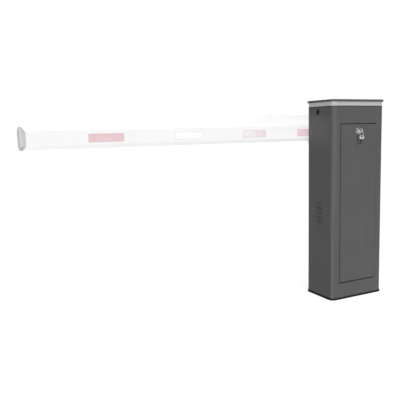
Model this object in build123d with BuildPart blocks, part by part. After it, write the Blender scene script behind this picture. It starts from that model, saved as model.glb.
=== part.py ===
from build123d import *
import os
import math

os.makedirs("parts", exist_ok=True)

# ---------------------------------------------------------------------------
# Boom barrier: a slim sheet steel cabinet with a tilt-out service door, and a
# short octagonal aluminium boom on the shaft at the back of the cabinet.
# Frame: +Z up, origin at the middle of the cabinet foot on the floor,
# -Y is the door side, -X is the side the boom points to.  Millimetres.
# ---------------------------------------------------------------------------

# cabinet
cab_w = 332.0            # X
cab_d = 208.0            # Y
cab_r = 24.0             # vertical corner radius
cab_h = 1005.0           # to the top of the cap
sheet = 2.5
gasket_t = 9.0
gasket_out = 3.0
shell_top = 971.0

# cap and light band
cap_t = 11.0
cap_over = 6.0
cap_skin = 3.0
band_z0 = 974.0
band_inset = 1.0
frame_z0 = 960.0

# service door
open_x0, open_x1 = -120.5, 120.5
open_z0, open_z1 = 82.0, 888.5
door_gap = 5.0
door_skin = 2.0
door_deep = 15.0
door_x0, door_x1 = open_x0 + door_gap, open_x1 - door_gap
door_z0, door_z1 = open_z0 + door_gap, open_z1 - door_gap
pivot_y = -cab_d / 2 + 8.0
pivot_z = door_z0 + 14.0
pivot_r = 4.0
run_gap = 0.05

# lock
lock_x = -5.0
lock_z = 851.0
lock_r = 12.0
bezel_r = 16.5

# shaft and drive
axis_z = 848.0
shaft_r = 20.0
worm_z = 945.0
worm_y = 12.0
plug_r = 11.5

# boom
boom_h = 94.0
boom_t = 70.0
boom_flat = 31.0         # half height of the upright faces
boom_slope = 19.0        # depth of the sloping faces
boom_wall = 2.5
boom_y0 = cab_d / 2 + 20.0
boom_x_end = -1575.0     # outer face of the end cap
boom_x_tail = 135.0
cap_plate = 9.0          # closed end of the end cap
cap_len = 21.0           # with its skirt over the tube
cap_wall = 2.0
plate_t = 12.0
arm_t = 6.0

# reflectors: centre x on the boom, length, height
refl_x = (-144.0, -471.0, -829.5, -1220.5)
refl_len = (132.0, 132.0, 142.0, 156.0)
refl_h = 35.0
refl_up = -3.0
refl_t = 1.0

front = -cab_d / 2
rear = cab_d / 2
in_w = cab_w - 2 * sheet
in_d = cab_d - 2 * sheet
left = -cab_w / 2
right = cab_w / 2


def save(part, name, color):
    part.label = name
    part.color = Color(*color)
    export_step(part, "parts/" + name + ".step")


grey = (0.22, 0.23, 0.24)
black = (0.05, 0.05, 0.05)
steel = (0.6, 0.6, 0.62)
white = (0.92, 0.92, 0.92)

# ---------------------------------------------------------------------------
# foot: rubber gasket and steel base plate with four anchor holes and the
# cable entry
# ---------------------------------------------------------------------------
anchor_x, anchor_y, anchor_r = 230.0, 130.0, 7.0
entry_x, entry_y = 130.0, 80.0

with BuildPart() as base_gasket:
    with BuildSketch(Plane.XY):
        RectangleRounded(cab_w + 2 * gasket_out, cab_d + 2 * gasket_out, cab_r + gasket_out)
        RectangleRounded(entry_x, entry_y, 12, mode=Mode.SUBTRACT)
        with GridLocations(anchor_x, anchor_y, 2, 2):
            Circle(anchor_r, mode=Mode.SUBTRACT)
    extrude(amount=gasket_t)
save(base_gasket.part, "base_gasket", black)

with BuildPart() as base_plate:
    with BuildSketch(Plane.XY.offset(gasket_t)):
        RectangleRounded(in_w, in_d, cab_r - sheet)
        RectangleRounded(entry_x, entry_y, 12, mode=Mode.SUBTRACT)
        with GridLocations(anchor_x, anchor_y, 2, 2):
            Circle(anchor_r, mode=Mode.SUBTRACT)
    extrude(amount=6)
save(base_plate.part, "base_plate", steel)

# ---------------------------------------------------------------------------
# cabinet shell: one wrapped sheet with round corners, door opening, shaft
# hole, crank hole and vent slots
# ---------------------------------------------------------------------------
vent_pitch = 24.0
vent_z = 433.0
vent_y = 1.0
vent_n = 5
vent_len = 52.0
hood_out = 4.0

with BuildPart() as cabinet_shell:
    with BuildSketch(Plane.XY.offset(gasket_t)):
        RectangleRounded(cab_w, cab_d, cab_r)
        RectangleRounded(in_w, in_d, cab_r - sheet, mode=Mode.SUBTRACT)
    extrude(amount=shell_top - gasket_t)
    # door opening
    with BuildSketch(Plane.XZ.offset(-front + 1)):
        with Locations((0.5 * (open_x0 + open_x1), 0.5 * (open_z0 + open_z1))):
            RectangleRounded(open_x1 - open_x0, open_z1 - open_z0, 6)
    extrude(amount=-(sheet + 2), mode=Mode.SUBTRACT)
    # shaft hole in the back
    with BuildSketch(Plane.XZ.offset(-rear - 1)):
        with Locations((0, axis_z)):
            Circle(30)
    extrude(amount=sheet + 2, mode=Mode.SUBTRACT)
    # crank hole in the side
    with BuildSketch(Plane.YZ.offset(left - 1)):
        with Locations((worm_y, worm_z)):
            Circle(9)
    extrude(amount=sheet + 2, mode=Mode.SUBTRACT)
    # vent slots in both sides
    for sx in (left - 1, right - sheet - 1):
        with BuildSketch(Plane.YZ.offset(sx)):
            with Locations((vent_y, vent_z)):
                with GridLocations(1, vent_pitch, 1, vent_n):
                    Rectangle(vent_len - 14, 5)
        extrude(amount=sheet + 2, mode=Mode.SUBTRACT)
save(cabinet_shell.part, "cabinet_shell", grey)


def louvres(side):
    # pressed hoods: a low wedge that bulges out of the sheet and is open below
    x0 = right if side > 0 else left
    with BuildPart() as hoods:
        for k in range(vent_n):
            zc = vent_z + (k - (vent_n - 1) / 2) * vent_pitch
            with BuildSketch(Plane.XZ.offset(-(vent_y - vent_len / 2 + 4))):
                with BuildLine():
                    Polyline(
                        (x0, zc + 9),
                        (x0 + side * hood_out, zc + 1),
                        (x0 + side * hood_out, zc - 5),
                        (x0 + side * (hood_out - 1.5), zc - 5),
                        (x0 + side * (hood_out - 1.5), zc + 0.5),
                        (x0, zc + 6.0),
                        (x0, zc + 9),
                    )
                make_face()
            extrude(amount=-(vent_len - 8))
            for end in (vent_y - vent_len / 2 + 2, vent_y + vent_len / 2 - 4):
                with BuildSketch(Plane.XZ.offset(-end)):
                    with BuildLine():
                        Polyline(
                            (x0, zc + 9),
                            (x0 + side * hood_out, zc + 1),
                            (x0 + side * hood_out, zc - 5),
                            (x0, zc - 5),
                            (x0, zc + 9),
                        )
                    make_face()
                extrude(amount=-2)
    return hoods.part


save(louvres(-1), "left_louvres", grey)
save(louvres(1), "right_louvres", grey)

# ---------------------------------------------------------------------------
# door frame: angle strips behind the opening, and the sill below it
# ---------------------------------------------------------------------------
fr_y0 = front + sheet
fr_y1 = front + 24.0
fr_t = 2.0
lap = 18.0

for nm, xe, sgn in (("door_frame_left", open_x0, 1), ("door_frame_right", open_x1, -1)):
    with BuildPart() as jamb:
        with BuildSketch(Plane.XY.offset(open_z0)):
            with BuildLine():
                Polyline(
                    (xe - sgn * fr_t, fr_y0),
                    (xe, fr_y0),
                    (xe, fr_y1 - fr_t),
                    (xe + sgn * (lap - 6), fr_y1 - fr_t),
                    (xe + sgn * (lap - 6), fr_y1),
                    (xe - sgn * fr_t, fr_y1),
                    (xe - sgn * fr_t, fr_y0),
                )
            make_face()
        extrude(amount=open_z1 - open_z0)
    save(jamb.part, nm, grey)

with BuildPart() as door_frame_top:
    with BuildSketch(Plane.YZ.offset(open_x0 - fr_t)):
        with BuildLine():
            Polyline(
                (fr_y0, open_z1),
                (fr_y0, open_z1 + fr_t),
                (fr_y1 + fr_t, open_z1 + fr_t),
                (fr_y1 + fr_t, open_z1 - lap + 6),
                (fr_y1, open_z1 - lap + 6),
                (fr_y1, open_z1),
                (fr_y0, open_z1),
            )
        make_face()
    extrude(amount=open_x1 - open_x0 + 2 * fr_t)
save(door_frame_top.part, "door_frame_top", grey)

with BuildPart() as door_sill:
    with BuildSketch(Plane.YZ.offset(open_x0 - fr_t)):
        with BuildLine():
            Polyline(
                (fr_y0, open_z0),
                (fr_y1 + 6, open_z0),
                (fr_y1 + 6, open_z0 - 20),
                (fr_y1 + 4, open_z0 - 20),
                (fr_y1 + 4, open_z0 - fr_t),
                (fr_y0, open_z0 - fr_t),
                (fr_y0, open_z0),
            )
        make_face()
    extrude(amount=open_x1 - open_x0 + 2 * fr_t)
save(door_sill.part, "door_sill", grey)

with BuildPart() as door_pivot_pins:
    for xs, ln in ((open_x0, 12.0), (open_x1 - 12.0, 12.0)):
        with BuildSketch(Plane.YZ.offset(xs)):
            with Locations((pivot_y, pivot_z)):
                Circle(pivot_r)
        extrude(amount=ln)
save(door_pivot_pins.part, "door_pivot_pins", steel)

# ---------------------------------------------------------------------------
# top: carrier ring, frosted light band and cap
# ---------------------------------------------------------------------------
with BuildPart() as top_frame:
    with BuildSketch(Plane.XY.offset(frame_z0)):
        RectangleRounded(in_w, in_d, cab_r - sheet)
        RectangleRounded(in_w - 8, in_d - 8, cab_r - sheet - 4, mode=Mode.SUBTRACT)
    extrude(amount=cab_h - cap_skin - frame_z0)
save(top_frame.part, "top_frame", black)

with BuildPart() as light_band:
    with BuildSketch(Plane.XY.offset(band_z0)):
        RectangleRounded(cab_w - 2 * band_inset, cab_d - 2 * band_inset, cab_r - band_inset)
        RectangleRounded(in_w, in_d, cab_r - sheet, mode=Mode.SUBTRACT)
    extrude(amount=cab_h - cap_skin - 1 - band_z0)
save(light_band.part, "light_band", (0.75, 0.76, 0.78))

with BuildPart() as top_cap:
    with BuildSketch(Plane.XY.offset(cab_h - cap_t)):
        RectangleRounded(cab_w + 2 * cap_over, cab_d + 2 * cap_over, cab_r + cap_over)
    extrude(amount=cap_t)
    fillet(top_cap.faces().sort_by(Axis.Z)[-1].edges(), 2.0)
    with BuildSketch(Plane.XY.offset(cab_h - cap_t)):
        RectangleRounded(cab_w + 2 * cap_over - 2 * cap_skin, cab_d + 2 * cap_over - 2 * cap_skin,
                         cab_r + cap_over - cap_skin)
    extrude(amount=cap_t - cap_skin, mode=Mode.SUBTRACT)
save(top_cap.part, "top_cap", grey)

with BuildPart() as crank_plug:
    # drop shaped cover, pointed upwards, with a ring that snaps into the hole
    with BuildSketch(Plane.YZ.offset(left - 2)):
        with Locations((worm_y, worm_z)):
            Circle(plug_r)
        with Locations((worm_y, worm_z + 12.5)):
            Circle(4.5)
        make_hull()
    extrude(amount=2)
    fillet(crank_plug.edges().group_by(Axis.X)[0], 1.0)
    with BuildSketch(Plane.YZ.offset(left)):
        with Locations((worm_y, worm_z)):
            Circle(8.8)
            Circle(6.8, mode=Mode.SUBTRACT)
    extrude(amount=9)
save(crank_plug.part, "crank_plug", black)

# ---------------------------------------------------------------------------
# drive: worm gearmotor on the stiffened back wall, spring drum in front
# ---------------------------------------------------------------------------
stiff_t = 6.0
stiff_y = rear - sheet - stiff_t
gb_y0, gb_y1 = worm_y - 34, worm_y + 34

with BuildPart() as rear_stiffener:
    with BuildSketch(Plane.XZ.offset(-(rear - sheet))):
        with Locations((0, 844)):
            RectangleRounded(250, 226, 10)
        with Locations((0, axis_z)):
            Circle(30, mode=Mode.SUBTRACT)
    extrude(amount=stiff_t)
save(rear_stiffener.part, "rear_stiffener", steel)

with BuildPart() as output_flange:
    with BuildSketch(Plane.XZ.offset(-stiff_y)):
        with Locations((0, axis_z)):
            Circle(62)
            Circle(30, mode=Mode.SUBTRACT)
    extrude(amount=stiff_y - gb_y1)
save(output_flange.part, "output_flange", steel)

with BuildPart() as gearbox_housing:
    with BuildSketch(Plane.XZ.offset(-gb_y1)):
        with Locations((0, axis_z)):
            Circle(74)
        with Locations((0, 0.5 * (axis_z + worm_z + 34))):
            Rectangle(148, worm_z + 34 - axis_z)
    extrude(amount=gb_y1 - gb_y0)
    fillet(gearbox_housing.edges().filter_by(Axis.X).group_by(Axis.Z)[-1], 6)
    with BuildSketch(Plane.XZ.offset(-gb_y1)):
        with Locations((0, axis_z)):
            Circle(shaft_r + run_gap)
    extrude(amount=gb_y1 - gb_y0, mode=Mode.SUBTRACT)
save(gearbox_housing.part, "gearbox_housing", (0.55, 0.57, 0.58))

with BuildPart() as drive_motor:
    with BuildSketch(Plane.YZ.offset(74)):
        with Locations((worm_y, worm_z)):
            RectangleRounded(78, 78, 8)
    extrude(amount=8)
    with BuildSketch(Plane.YZ.offset(82)):
        with Locations((worm_y, worm_z)):
            Circle(37)
    extrude(amount=62)
    with BuildSketch(Plane.YZ.offset(144)):
        with Locations((worm_y, worm_z)):
            Circle(34)
    extrude(amount=8)
save(drive_motor.part, "drive_motor", (0.15, 0.16, 0.18))

with BuildPart() as crank_stub:
    with BuildSketch(Plane.YZ.offset(-86)):
        with Locations((worm_y, worm_z)):
            Circle(17)
    extrude(amount=12)
    with BuildSketch(Plane.YZ.offset(-126)):
        with Locations((worm_y, worm_z)):
            RegularPolygon(7, 6)
    extrude(amount=40)
save(crank_stub.part, "crank_stub", steel)

drum_y0, drum_y1 = gb_y0 - 34, gb_y0
with BuildPart() as spring_drum:
    with BuildSketch(Plane.XZ.offset(-drum_y1)):
        with Locations((0, axis_z)):
            Circle(58)
            Circle(shaft_r + run_gap, mode=Mode.SUBTRACT)
    extrude(amount=drum_y1 - drum_y0)
    fillet(spring_drum.edges().filter_by(GeomType.CIRCLE).sort_by(SortBy.RADIUS)[-2:].sort_by(Axis.Y)[0], 3)
save(spring_drum.part, "spring_drum", (0.1, 0.1, 0.12))

with BuildPart() as shaft_seal:
    with BuildSketch(Plane.XZ.offset(-(rear + 3))):
        with Locations((0, axis_z)):
            Circle(37)
            Circle(shaft_r + run_gap, mode=Mode.SUBTRACT)
    extrude(amount=3)
save(shaft_seal.part, "shaft_seal", black)

# sensor for the end positions, on a post from the gearbox front, above the cam
sensor_reach = 37.0
with BuildPart() as limit_sensor:
    with BuildSketch(Plane.XZ.offset(-gb_y0)):
        with Locations((50, axis_z + 74)):
            Rectangle(36, 26)
    extrude(amount=3)
    with BuildSketch(Plane.XZ.offset(-(gb_y0 - 3))):
        with Locations((56, axis_z + 74)):
            Rectangle(14, 22)
    extrude(amount=sensor_reach)
    with BuildSketch(Plane.XZ.offset(-(gb_y0 - 3 - sensor_reach))):
        with Locations((40, axis_z + 67)):
            Rectangle(46, 34)
    extrude(amount=8)
save(limit_sensor.part, "limit_sensor", (0.08, 0.1, 0.3))

# ---------------------------------------------------------------------------
# electrics panel in the lower part of the cabinet
# ---------------------------------------------------------------------------
pan_y = 60.0
pan_z0, pan_z1 = 150.0, 690.0
with BuildPart() as mounting_panel:
    with BuildSketch(Plane.XZ.offset(-(pan_y + 2.5))):
        with Locations((0, 0.5 * (pan_z0 + pan_z1))):
            Rectangle(in_w, pan_z1 - pan_z0)
    extrude(amount=2.5)
    for xs in (-in_w / 2, in_w / 2 - 2.5):
        with BuildSketch(Plane.YZ.offset(xs)):
            with Locations((pan_y + 2.5 + 8, 0.5 * (pan_z0 + pan_z1))):
                Rectangle(16, pan_z1 - pan_z0)
        extrude(amount=2.5)
save(mounting_panel.part, "mounting_panel", (0.75, 0.76, 0.76))

with BuildPart() as control_box:
    with BuildSketch(Plane.XZ.offset(-pan_y)):
        with Locations((0, 585)):
            RectangleRounded(220, 160, 6)
    extrude(amount=62)
    fillet(control_box.faces().sort_by(Axis.Y)[0].edges(), 3)
save(control_box.part, "control_box", (0.3, 0.32, 0.34))

with BuildPart() as power_supply:
    with BuildSketch(Plane.XZ.offset(-pan_y)):
        with Locations((-40, 245)):
            Rectangle(100, 160)
    extrude(amount=42)
save(power_supply.part, "power_supply", (0.7, 0.7, 0.72))

with BuildPart() as terminal_rail:
    with BuildSketch(Plane.XZ.offset(-pan_y)):
        with Locations((0, 420)):
            Rectangle(250, 35)
    extrude(amount=7.5)
save(terminal_rail.part, "terminal_rail", steel)

with BuildPart() as terminal_blocks:
    with BuildSketch(Plane.XZ.offset(-(pan_y - 7.5))):
        with Locations((-52, 420)):
            Rectangle(120, 48)
    extrude(amount=40)
save(terminal_blocks.part, "terminal_blocks", (0.5, 0.55, 0.5))

with BuildPart() as circuit_breaker:
    with BuildSketch(Plane.XZ.offset(-(pan_y - 7.5))):
        with Locations((62, 420)):
            Rectangle(36, 84)
    extrude(amount=44)
    with BuildSketch(Plane.XZ.offset(-(pan_y - 51.5))):
        with Locations((62, 420)):
            Rectangle(36, 44)
    extrude(amount=18)
save(circuit_breaker.part, "circuit_breaker", (0.85, 0.85, 0.83))

# ---------------------------------------------------------------------------
# service door: folded pan that tilts out on two low pivots
# ---------------------------------------------------------------------------
door_cx, door_cz = 0.5 * (door_x0 + door_x1), 0.5 * (door_z0 + door_z1)
door_w, door_h = door_x1 - door_x0, door_z1 - door_z0

with BuildPart() as door_panel:
    with BuildSketch(Plane.XZ.offset(-front)):
        with Locations((door_cx, door_cz)):
            RectangleRounded(door_w, door_h, 4)
    extrude(amount=-door_deep)
    with BuildSketch(Plane.XZ.offset(-(front + door_skin))):
        with Locations((door_cx, door_cz)):
            RectangleRounded(door_w - 2 * door_skin, door_h - 2 * door_skin, 2)
    extrude(amount=-door_deep, mode=Mode.SUBTRACT)
    # pivot eyes in the side folds
    with BuildSketch(Plane.YZ.offset(door_x0 - 1)):
        with Locations((pivot_y, pivot_z)):
            Circle(pivot_r + run_gap)
    extrude(amount=door_w + 2, mode=Mode.SUBTRACT)
    # lock hole
    with BuildSketch(Plane.XZ.offset(-front + 1)):
        with Locations((lock_x, lock_z)):
            Circle(lock_r)
    extrude(amount=-(door_skin + 2), mode=Mode.SUBTRACT)
save(door_panel.part, "door_panel", grey)

with BuildPart() as door_gasket:
    with BuildSketch(Plane.XZ.offset(-(front + door_skin))):
        with Locations((door_cx, door_cz + 20)):
            RectangleRounded(door_w - 2 * door_skin - 4, door_h - 2 * door_skin - 44, 6)
            RectangleRounded(door_w - 2 * door_skin - 24, door_h - 2 * door_skin - 64, 4, mode=Mode.SUBTRACT)
    extrude(amount=-10)
save(door_gasket.part, "door_gasket", black)

lock_in = 26.0
with BuildPart() as lock_housing:
    with BuildSketch(Plane.XZ.offset(-(front - 3))):
        with Locations((lock_x, lock_z)):
            Circle(bezel_r)
            Circle(7 + run_gap, mode=Mode.SUBTRACT)
    extrude(amount=-3)
    fillet(lock_housing.edges().filter_by(GeomType.CIRCLE).group_by(Axis.Y)[0].sort_by(SortBy.RADIUS)[-1], 1.8)
    # sunk ring between the rim and the plug
    with BuildSketch(Plane.XZ.offset(-(front - 3))):
        with Locations((lock_x, lock_z)):
            Circle(13)
            Circle(9.5, mode=Mode.SUBTRACT)
    extrude(amount=-1.6, mode=Mode.SUBTRACT)
    with BuildSketch(Plane.XZ.offset(-front)):
        with Locations((lock_x, lock_z)):
            Circle(lock_r - 0.2)
            Circle(7 + run_gap, mode=Mode.SUBTRACT)
    extrude(amount=-lock_in)
    with BuildSketch(Plane.XZ.offset(-(front + door_skin))):
        with Locations((lock_x, lock_z)):
            RegularPolygon(16, 6)
            Circle(lock_r - 0.2, mode=Mode.SUBTRACT)
    extrude(amount=-5)
save(lock_housing.part, "lock_housing", steel)

# turning plug with the locking cam, which rests clear of the frame
with BuildPart() as lock_plug:
    with BuildSketch(Plane.XZ.offset(-(front - 2.5))):
        with Locations((lock_x, lock_z)):
            Circle(7)
            Rectangle(2.4, 9, mode=Mode.SUBTRACT)
    extrude(amount=-14)
    with BuildSketch(Plane.XZ.offset(-(front + 11.5))):
        with Locations((lock_x, lock_z)):
            Circle(7)
    extrude(amount=-(lock_in + 0.5 - 11.5))
    with BuildSketch(Plane.XZ.offset(-(front + lock_in + 0.5))):
        with Locations((lock_x, lock_z)):
            Circle(10)
        with Locations((lock_x + 18, lock_z)):
            RectangleRounded(44, 16, 5)
    extrude(amount=-3)
save(lock_plug.part, "lock_plug", steel)

key_y = front - 2.5
with BuildPart() as key:
    with BuildSketch(Plane.YZ.offset(lock_x - 1.0)):
        with Locations((key_y + 3, lock_z)):
            Rectangle(20, 8.4)
        with Locations((key_y - 17, lock_z)):
            RectangleRounded(22, 24, 8)
        with Locations((key_y - 22, lock_z)):
            Circle(3.5, mode=Mode.SUBTRACT)
    extrude(amount=2.0)
save(key.part, "key", (0.75, 0.75, 0.76))

ring_y = key_y - 22
with BuildPart() as key_ring:
    with BuildSketch(Plane.YZ.offset(lock_x)):
        with Locations((ring_y, lock_z - 2.3)):
            Circle(0.9)
    revolve(axis=Axis((lock_x, ring_y, lock_z - 2.3 - 12), (0, 1, 0)), revolution_arc=360)
save(key_ring.part, "key_ring", (0.75, 0.75, 0.76))

# spare key hanging from the ring: its eye sits on the lowest part of the ring
sp_z = lock_z - 2.3 - 24
with BuildPart() as spare_key:
    with BuildSketch(Plane.YZ.offset(lock_x - 1.0)):
        with Locations((ring_y, sp_z - 7)):
            RectangleRounded(24, 22, 8)
        with Locations((ring_y, sp_z - 30)):
            Rectangle(8, 26)
        with Locations((ring_y, sp_z - 1.8)):
            Circle(3.5, mode=Mode.SUBTRACT)
    extrude(amount=2.0)
save(spare_key.part, "spare_key", (0.75, 0.75, 0.76))

# ---------------------------------------------------------------------------
# boom assembly on the shaft
# ---------------------------------------------------------------------------
shaft_y0 = drum_y0 - 8
shaft_y1 = boom_y0

with BuildPart() as main_shaft:
    with BuildSketch(Plane.XZ.offset(-shaft_y1)):
        with Locations((0, axis_z)):
            Circle(shaft_r)
    extrude(amount=shaft_y1 - shaft_y0)
    chamfer(main_shaft.edges().filter_by(GeomType.CIRCLE).sort_by(Axis.Y)[0], 1.5)
save(main_shaft.part, "main_shaft", steel)

with BuildPart() as limit_cam:
    with BuildSketch(Plane.XZ.offset(-(drum_y0 - 5))):
        with Locations((0, axis_z)):
            Circle(44)
            Circle(shaft_r + 0.02, mode=Mode.SUBTRACT)
        with Locations((50, axis_z + 26)):
            Rectangle(60, 52, mode=Mode.SUBTRACT)
    extrude(amount=5)
save(limit_cam.part, "limit_cam", (0.6, 0.5, 0.2))

with BuildPart() as carrier_plate:
    with BuildSketch(Plane.XZ.offset(-boom_y0)):
        with Locations((0, axis_z)):
            RectangleRounded(124, 176, 14)
            Circle(shaft_r + 0.05, mode=Mode.SUBTRACT)
            with GridLocations(90, 138, 2, 2):
                Circle(6.1, mode=Mode.SUBTRACT)
    extrude(amount=plate_t)
save(carrier_plate.part, "carrier_plate", white)

# octagonal section of the boom in the YZ plane
def octagon(grow):
    h = boom_h / 2 + grow
    y0 = boom_y0 - grow
    y1 = boom_y0 + boom_t + grow
    flat = boom_flat + 0.41 * grow
    ch = boom_slope + 0.5 * grow
    return [
        (y0, axis_z - flat), (y0, axis_z + flat),
        (y0 + ch, axis_z + h), (y1 - ch, axis_z + h),
        (y1, axis_z + flat), (y1, axis_z - flat),
        (y1 - ch, axis_z - h), (y0 + ch, axis_z - h),
    ]


tube_x0 = boom_x_end + cap_plate
tube_x1 = boom_x_tail - 4

with BuildPart() as boom_tube:
    with BuildSketch(Plane.YZ.offset(tube_x0)):
        with BuildLine():
            Polyline(*octagon(0), close=True)
        make_face()
        with BuildLine():
            Polyline(*octagon(-boom_wall), close=True)
        make_face(mode=Mode.SUBTRACT)
    extrude(amount=tube_x1 - tube_x0)
save(boom_tube.part, "boom_tube", white)

# end cap: bevelled plate, a skirt over the tube that is cut back over the
# sloping faces, and a plug inside the tube
with BuildPart() as boom_end_cap:
    with BuildSketch(Plane.YZ.offset(boom_x_end)):
        with BuildLine():
            Polyline(*octagon(cap_wall), close=True)
        make_face()
    extrude(amount=cap_plate)
    chamfer(boom_end_cap.faces().sort_by(Axis.X)[0].edges(), 6.5)
    with BuildSketch(Plane.YZ.offset(tube_x0)):
        with BuildLine():
            Polyline(*octagon(cap_wall), close=True)
        make_face()
        with BuildLine():
            Polyline(*octagon(0.05), close=True)
        make_face(mode=Mode.SUBTRACT)
    extrude(amount=cap_len - cap_plate)
    for up in (1, -1):
        with BuildSketch(Plane.XZ.offset(-(boom_y0 + boom_t + 5))):
            with BuildLine():
                Polyline(
                    (boom_x_end + cap_len + 1, axis_z + up * (boom_flat - 1)),
                    (boom_x_end + cap_len + 1, axis_z + up * (boom_h / 2 + 5)),
                    (boom_x_end + cap_plate, axis_z + up * (boom_h / 2 + 5)),
                    (boom_x_end + cap_plate, axis_z + up * (boom_h / 2 + 2)),
                    (boom_x_end + cap_len, axis_z + up * (boom_flat - 1)),
                    close=True,
                )
            make_face()
        extrude(amount=boom_t + 10, mode=Mode.SUBTRACT)
    with BuildSketch(Plane.YZ.offset(tube_x0)):
        with BuildLine():
            Polyline(*octagon(-boom_wall - 0.1), close=True)
        make_face()
    extrude(amount=30)
save(boom_end_cap.part, "boom_end_cap", (0.7, 0.71, 0.72))

with BuildPart() as boom_tail_cap:
    with BuildSketch(Plane.YZ.offset(tube_x1)):
        with BuildLine():
            Polyline(*octagon(1.2), close=True)
        make_face()
    extrude(amount=4)
    chamfer(boom_tail_cap.faces().sort_by(Axis.X)[-1].edges(), 1.5)
    with BuildSketch(Plane.YZ.offset(tube_x1 - 26)):
        with BuildLine():
            Polyline(*octagon(-boom_wall - 0.1), close=True)
        make_face()
    extrude(amount=26)
save(boom_tail_cap.part, "boom_tail_cap", (0.7, 0.71, 0.72))

# long white arm behind the boom that ties it to the carrier plate
arm_y0 = boom_y0 + boom_t
arm_top = 936.0
with BuildPart() as support_arm:
    with BuildSketch(Plane.XZ.offset(-(arm_y0 + arm_t))):
        with BuildLine():
            Polyline(
                (66, axis_z - 88), (66, axis_z + 74), (52, arm_top),
                (-335, arm_top), (-455, axis_z + 46), (-492, axis_z + 20),
                (-492, axis_z - 44), (-96, axis_z - 44), (-66, axis_z - 88),
                (66, axis_z - 88),
            )
        make_face()
        with Locations((0, axis_z)):
            with GridLocations(90, 138, 2, 2):
                Circle(6.1, mode=Mode.SUBTRACT)
    extrude(amount=arm_t)
save(support_arm.part, "support_arm", white)

with BuildPart() as clamp_bolts:
    with BuildSketch(Plane.XZ.offset(-(arm_y0 + arm_t))):
        with Locations((0, axis_z)):
            with GridLocations(90, 138, 2, 2):
                Circle(6)
    extrude(amount=arm_t + boom_t + plate_t)
    with BuildSketch(Plane.XZ.offset(-(arm_y0 + arm_t + 2.5))):
        with Locations((0, axis_z)):
            with GridLocations(90, 138, 2, 2):
                Circle(12)
    extrude(amount=2.5)
    with BuildSketch(Plane.XZ.offset(-(arm_y0 + arm_t + 10))):
        with Locations((0, axis_z)):
            with GridLocations(90, 138, 2, 2):
                RegularPolygon(9.5, 6, major_radius=False)
    extrude(amount=7.5)
save(clamp_bolts.part, "clamp_bolts", steel)

for k, xc in enumerate(refl_x):
    with BuildPart() as reflector:
        for yb in (boom_y0, boom_y0 + boom_t + refl_t):
            if k < 2 and yb > boom_y0:
                continue
            with BuildSketch(Plane.XZ.offset(-yb)):
                with Locations((xc, axis_z + refl_up)):
                    RectangleRounded(refl_len[k], refl_h, 3)
            extrude(amount=refl_t)
    save(reflector.part, "reflector_" + str(k + 1), (0.85, 0.4, 0.4) if k != 2 else white)
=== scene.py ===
import bpy, bmesh, math, random
from mathutils import Vector, Matrix


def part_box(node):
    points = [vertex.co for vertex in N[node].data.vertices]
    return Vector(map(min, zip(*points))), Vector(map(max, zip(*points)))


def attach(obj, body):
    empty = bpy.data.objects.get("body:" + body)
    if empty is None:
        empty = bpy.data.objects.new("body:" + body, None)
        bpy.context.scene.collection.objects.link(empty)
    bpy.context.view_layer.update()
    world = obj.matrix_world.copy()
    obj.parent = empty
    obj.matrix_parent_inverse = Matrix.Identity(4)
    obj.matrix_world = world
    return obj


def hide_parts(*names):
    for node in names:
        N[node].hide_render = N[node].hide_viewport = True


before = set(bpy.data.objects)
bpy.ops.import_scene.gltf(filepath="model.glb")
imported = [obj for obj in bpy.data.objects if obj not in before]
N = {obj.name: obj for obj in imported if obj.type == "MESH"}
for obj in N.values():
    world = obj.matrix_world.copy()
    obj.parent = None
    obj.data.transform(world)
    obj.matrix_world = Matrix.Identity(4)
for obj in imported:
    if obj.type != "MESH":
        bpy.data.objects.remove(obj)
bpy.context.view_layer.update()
random.seed(7)
scene = bpy.context.scene

# ---------------------------------------------------------------------------
# helpers for colours and node trees
# ---------------------------------------------------------------------------

def lin(c):
    c = c / 255.0
    return c / 12.92 if c <= 0.04045 else ((c + 0.055) / 1.055) ** 2.4


def rgb(r, g, b):
    return (lin(r), lin(g), lin(b), 1.0)


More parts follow.
